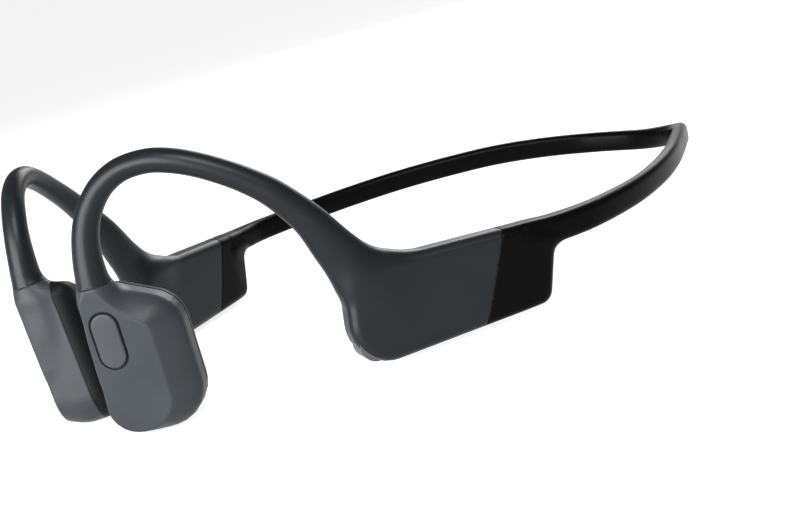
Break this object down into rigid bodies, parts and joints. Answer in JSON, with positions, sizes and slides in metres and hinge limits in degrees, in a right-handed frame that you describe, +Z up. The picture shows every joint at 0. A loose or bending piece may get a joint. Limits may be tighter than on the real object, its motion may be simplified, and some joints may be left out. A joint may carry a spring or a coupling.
{
  "type": "bone conduction headphones",
  "caption": "Open-ear bone conduction headphones: ear hooks with transducer pods and electronics modules on a springy neckband that wraps behind the head.",
  "frame": {"origin": "centre of the base, under the middle of the bounding box, on the surface the set stands on", "axes": "+X towards the wearer's left side, -Y towards the face (pods), +Y towards the rear of the neckband, +Z up, with the set standing on its pods and module undersides"},
  "size_m": [0.1213, 0.1762, 0.0526],
  "materials": {
    "cover_grey": "soft-touch satin",
    "pod_shell": "soft-touch satin",
    "cover_black": "satin",
    "pad_dark": "soft satin",
    "button_grey": "satin",
    "key_black": "satin",
    "titanium": "drawn wire",
    "lead_jacket": "satin",
    "chassis": "moulded",
    "battery_foil": "foil",
    "board": "solder mask",
    "chip": "moulded",
    "ceramic": "fired",
    "steel": "plated",
    "copper": "enamelled winding",
    "drive": "moulded",
    "port": "moulded",
    "contact_gold": "gold plated",
    "light": "frosted"
  },
  "bodies": {
    "neckband": {"neckband_sleeve": "cover_black", "neckband_wire": "titanium", "neckband_lead": "lead_jacket"},
    "left_arm": {"ear_hook_left": "cover_grey", "hook_wire_left": "titanium", "hook_lead_left": "lead_jacket", "module_lid_left": "chassis", "module_tray_left": "chassis", "pod_housing_left": "pod_shell", "contact_pad_left": "pad_dark", "transducer_yoke_left": "steel", "transducer_magnet_left": "steel", "transducer_plate_left": "steel", "voice_coil_left": "copper", "spring_plate_left": "steel", "drive_plate_left": "drive", "button_board": "board", "button_dome": "steel", "battery_cell": "battery_foil", "battery_board": "board"},
    "right_arm": {"ear_hook_right": "cover_grey", "hook_wire_right": "titanium", "hook_lead_right": "lead_jacket", "module_lid_right": "chassis", "module_tray_right": "chassis", "pod_housing_right": "pod_shell", "contact_pad_right": "pad_dark", "transducer_yoke_right": "steel", "transducer_magnet_right": "steel", "transducer_plate_right": "steel", "voice_coil_right": "copper", "spring_plate_right": "steel", "drive_plate_right": "drive", "main_board": "board", "audio_chip": "chip", "memory_chip": "chip", "antenna": "ceramic", "charging_port": "port", "status_light": "light", "microphone": "chip", "charging_pin_front": "contact_gold", "charging_pin_rear": "contact_gold", "port_magnet_front": "steel", "port_magnet_rear": "steel", "volume_down_switch": "chip", "volume_up_switch": "chip"},
    "multifunction_button": {"multifunction_button": "button_grey"},
    "volume_down_button": {"volume_down_button": "key_black"},
    "volume_up_button": {"volume_up_button": "key_black"}
  },
  "joints": [
    {"name": "left_arm_flex", "type": "hinge", "parent": "neckband", "child": "left_arm", "pos_m": [0.0195, 0.07683, 0.00936], "axis": [0, 0.0884, 0.9961], "range_deg": [-1, 20], "stiffness_Nm_per_rad": 0.47, "deforming": ["neckband_sleeve", "neckband_wire", "neckband_lead"]},
    {"name": "right_arm_flex", "type": "hinge", "parent": "neckband", "child": "right_arm", "pos_m": [-0.0195, 0.07683, 0.00936], "axis": [0, -0.0884, -0.9961], "range_deg": [-1, 20], "stiffness_Nm_per_rad": 0.47, "deforming": ["neckband_sleeve", "neckband_wire", "neckband_lead"]},
    {"name": "multifunction_press", "type": "slide", "parent": "left_arm", "child": "multifunction_button", "axis": [-0.6647, 0.7435, 0.0733], "range_m": [0, 0.0003], "stiffness_N_per_m": 2500, "springref_m": -0.0003},
    {"name": "volume_down_press", "type": "slide", "parent": "right_arm", "child": "volume_down_button", "axis": [0.034, 0.0068, 0.9994], "range_m": [0, 0.0003], "stiffness_N_per_m": 2500, "springref_m": -0.0003},
    {"name": "volume_up_press", "type": "slide", "parent": "right_arm", "child": "volume_up_button", "axis": [0.034, 0.0068, 0.9994], "range_m": [0, 0.0003], "stiffness_N_per_m": 2500, "springref_m": -0.0003}
  ]
}
